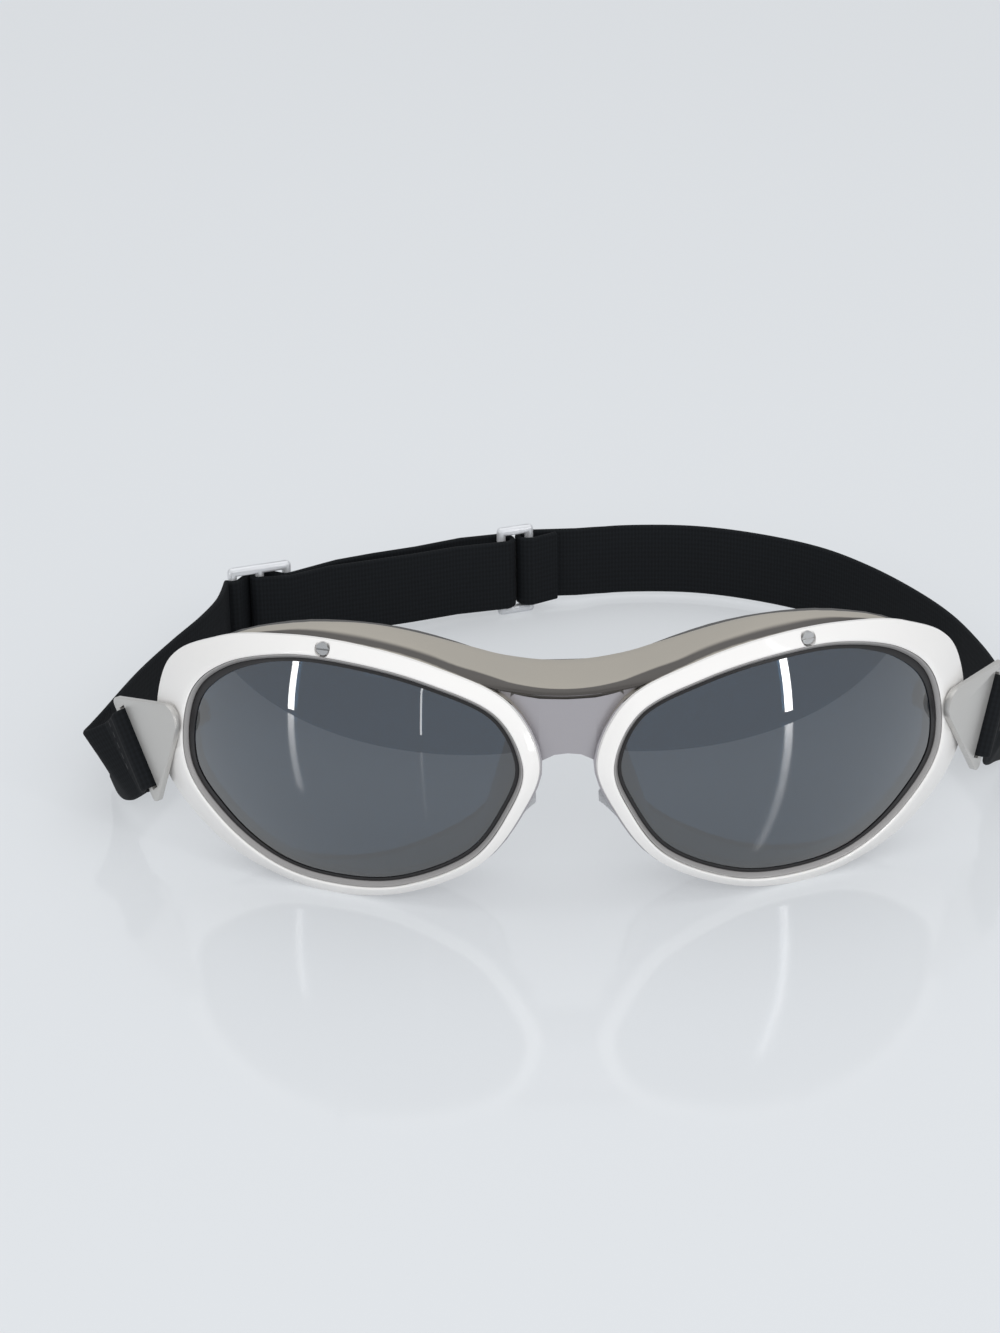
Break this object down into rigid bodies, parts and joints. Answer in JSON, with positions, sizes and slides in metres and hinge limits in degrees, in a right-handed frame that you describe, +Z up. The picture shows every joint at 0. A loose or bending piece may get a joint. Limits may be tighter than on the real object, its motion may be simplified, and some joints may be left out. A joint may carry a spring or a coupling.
{
  "type": "goggle sunglasses",
  "caption": "Goggle sunglasses with two domed oval lenses in white rims, a deep grey shell, pivoting strap ends and an adjustable elastic head strap.",
  "frame": {"origin": "the middle of the part's base, on the surface it stands on", "axes": "+X along the width towards the right of the front view, -Y is where the lenses face, the strap loop lies towards +Y, +Z up"},
  "size_m": [0.1846, 0.1478, 0.0502],
  "materials": {
    "shell_paint": "fine metallic champagne grey paint, satin",
    "seal_rubber": "matt soft rubber",
    "rim_white": "smooth off-white lacquer, semi-gloss",
    "ring_grey": "satin grey",
    "gasket_black": "black, slightly shiny",
    "lens_glass": "polished smoke-grey glass",
    "screw_steel": "bright steel",
    "insert_brass": "plain brass",
    "pad_rubber": "matt translucent grey silicone",
    "end_metal": "satin silver lacquer",
    "washer_steel": "plain steel",
    "strap_webbing": "ribbed black elastic webbing",
    "slider_metal": "bright plated wire"
  },
  "bodies": {
    "front": {"frame_shell": "shell_paint", "face_seal": "seal_rubber", "rim_cover_left": "rim_white", "rim_cover_right": "rim_white", "lens_ring_left": "ring_grey", "lens_ring_right": "ring_grey", "lens_gasket_left": "gasket_black", "lens_gasket_right": "gasket_black", "lens_left": "lens_glass", "lens_right": "lens_glass", "rim_screw_left": "screw_steel", "rim_screw_right": "screw_steel", "screw_insert_left": "insert_brass", "screw_insert_right": "insert_brass", "nose_pad_left": "pad_rubber", "nose_pad_right": "pad_rubber", "pivot_washer_left": "washer_steel", "pivot_washer_right": "washer_steel", "strap_front_left": "strap_webbing", "strap_front_right": "strap_webbing", "strap_left": "strap_webbing", "strap_right": "strap_webbing", "strap_ring": "slider_metal"},
    "end_left": {"end_piece_left": "end_metal", "pivot_screw_left": "screw_steel", "strap_tab_left": "strap_webbing"},
    "end_right": {"end_piece_right": "end_metal", "pivot_screw_right": "screw_steel", "strap_tab_right": "strap_webbing"},
    "slider": {"strap_slider": "slider_metal"}
  },
  "joints": [
    {"name": "end_left_swing", "type": "hinge", "parent": "front", "child": "end_left", "pos_m": [-0.07372, -0.04502, 0.0269], "axis": [0.8025, 0.5967, 0], "range_deg": [-18, 32], "deforming": ["strap_front_left"]},
    {"name": "end_right_swing", "type": "hinge", "parent": "front", "child": "end_right", "pos_m": [0.07372, -0.04502, 0.0269], "axis": [0.8025, -0.5967, 0], "range_deg": [-30, 20], "deforming": ["strap_front_right"]},
    {"name": "slider_slide", "type": "slide", "parent": "front", "child": "slider", "axis": [0.9455, 0.3256, 0], "range_m": [-0.004, 0.04], "deforming": ["strap_left"]}
  ]
}
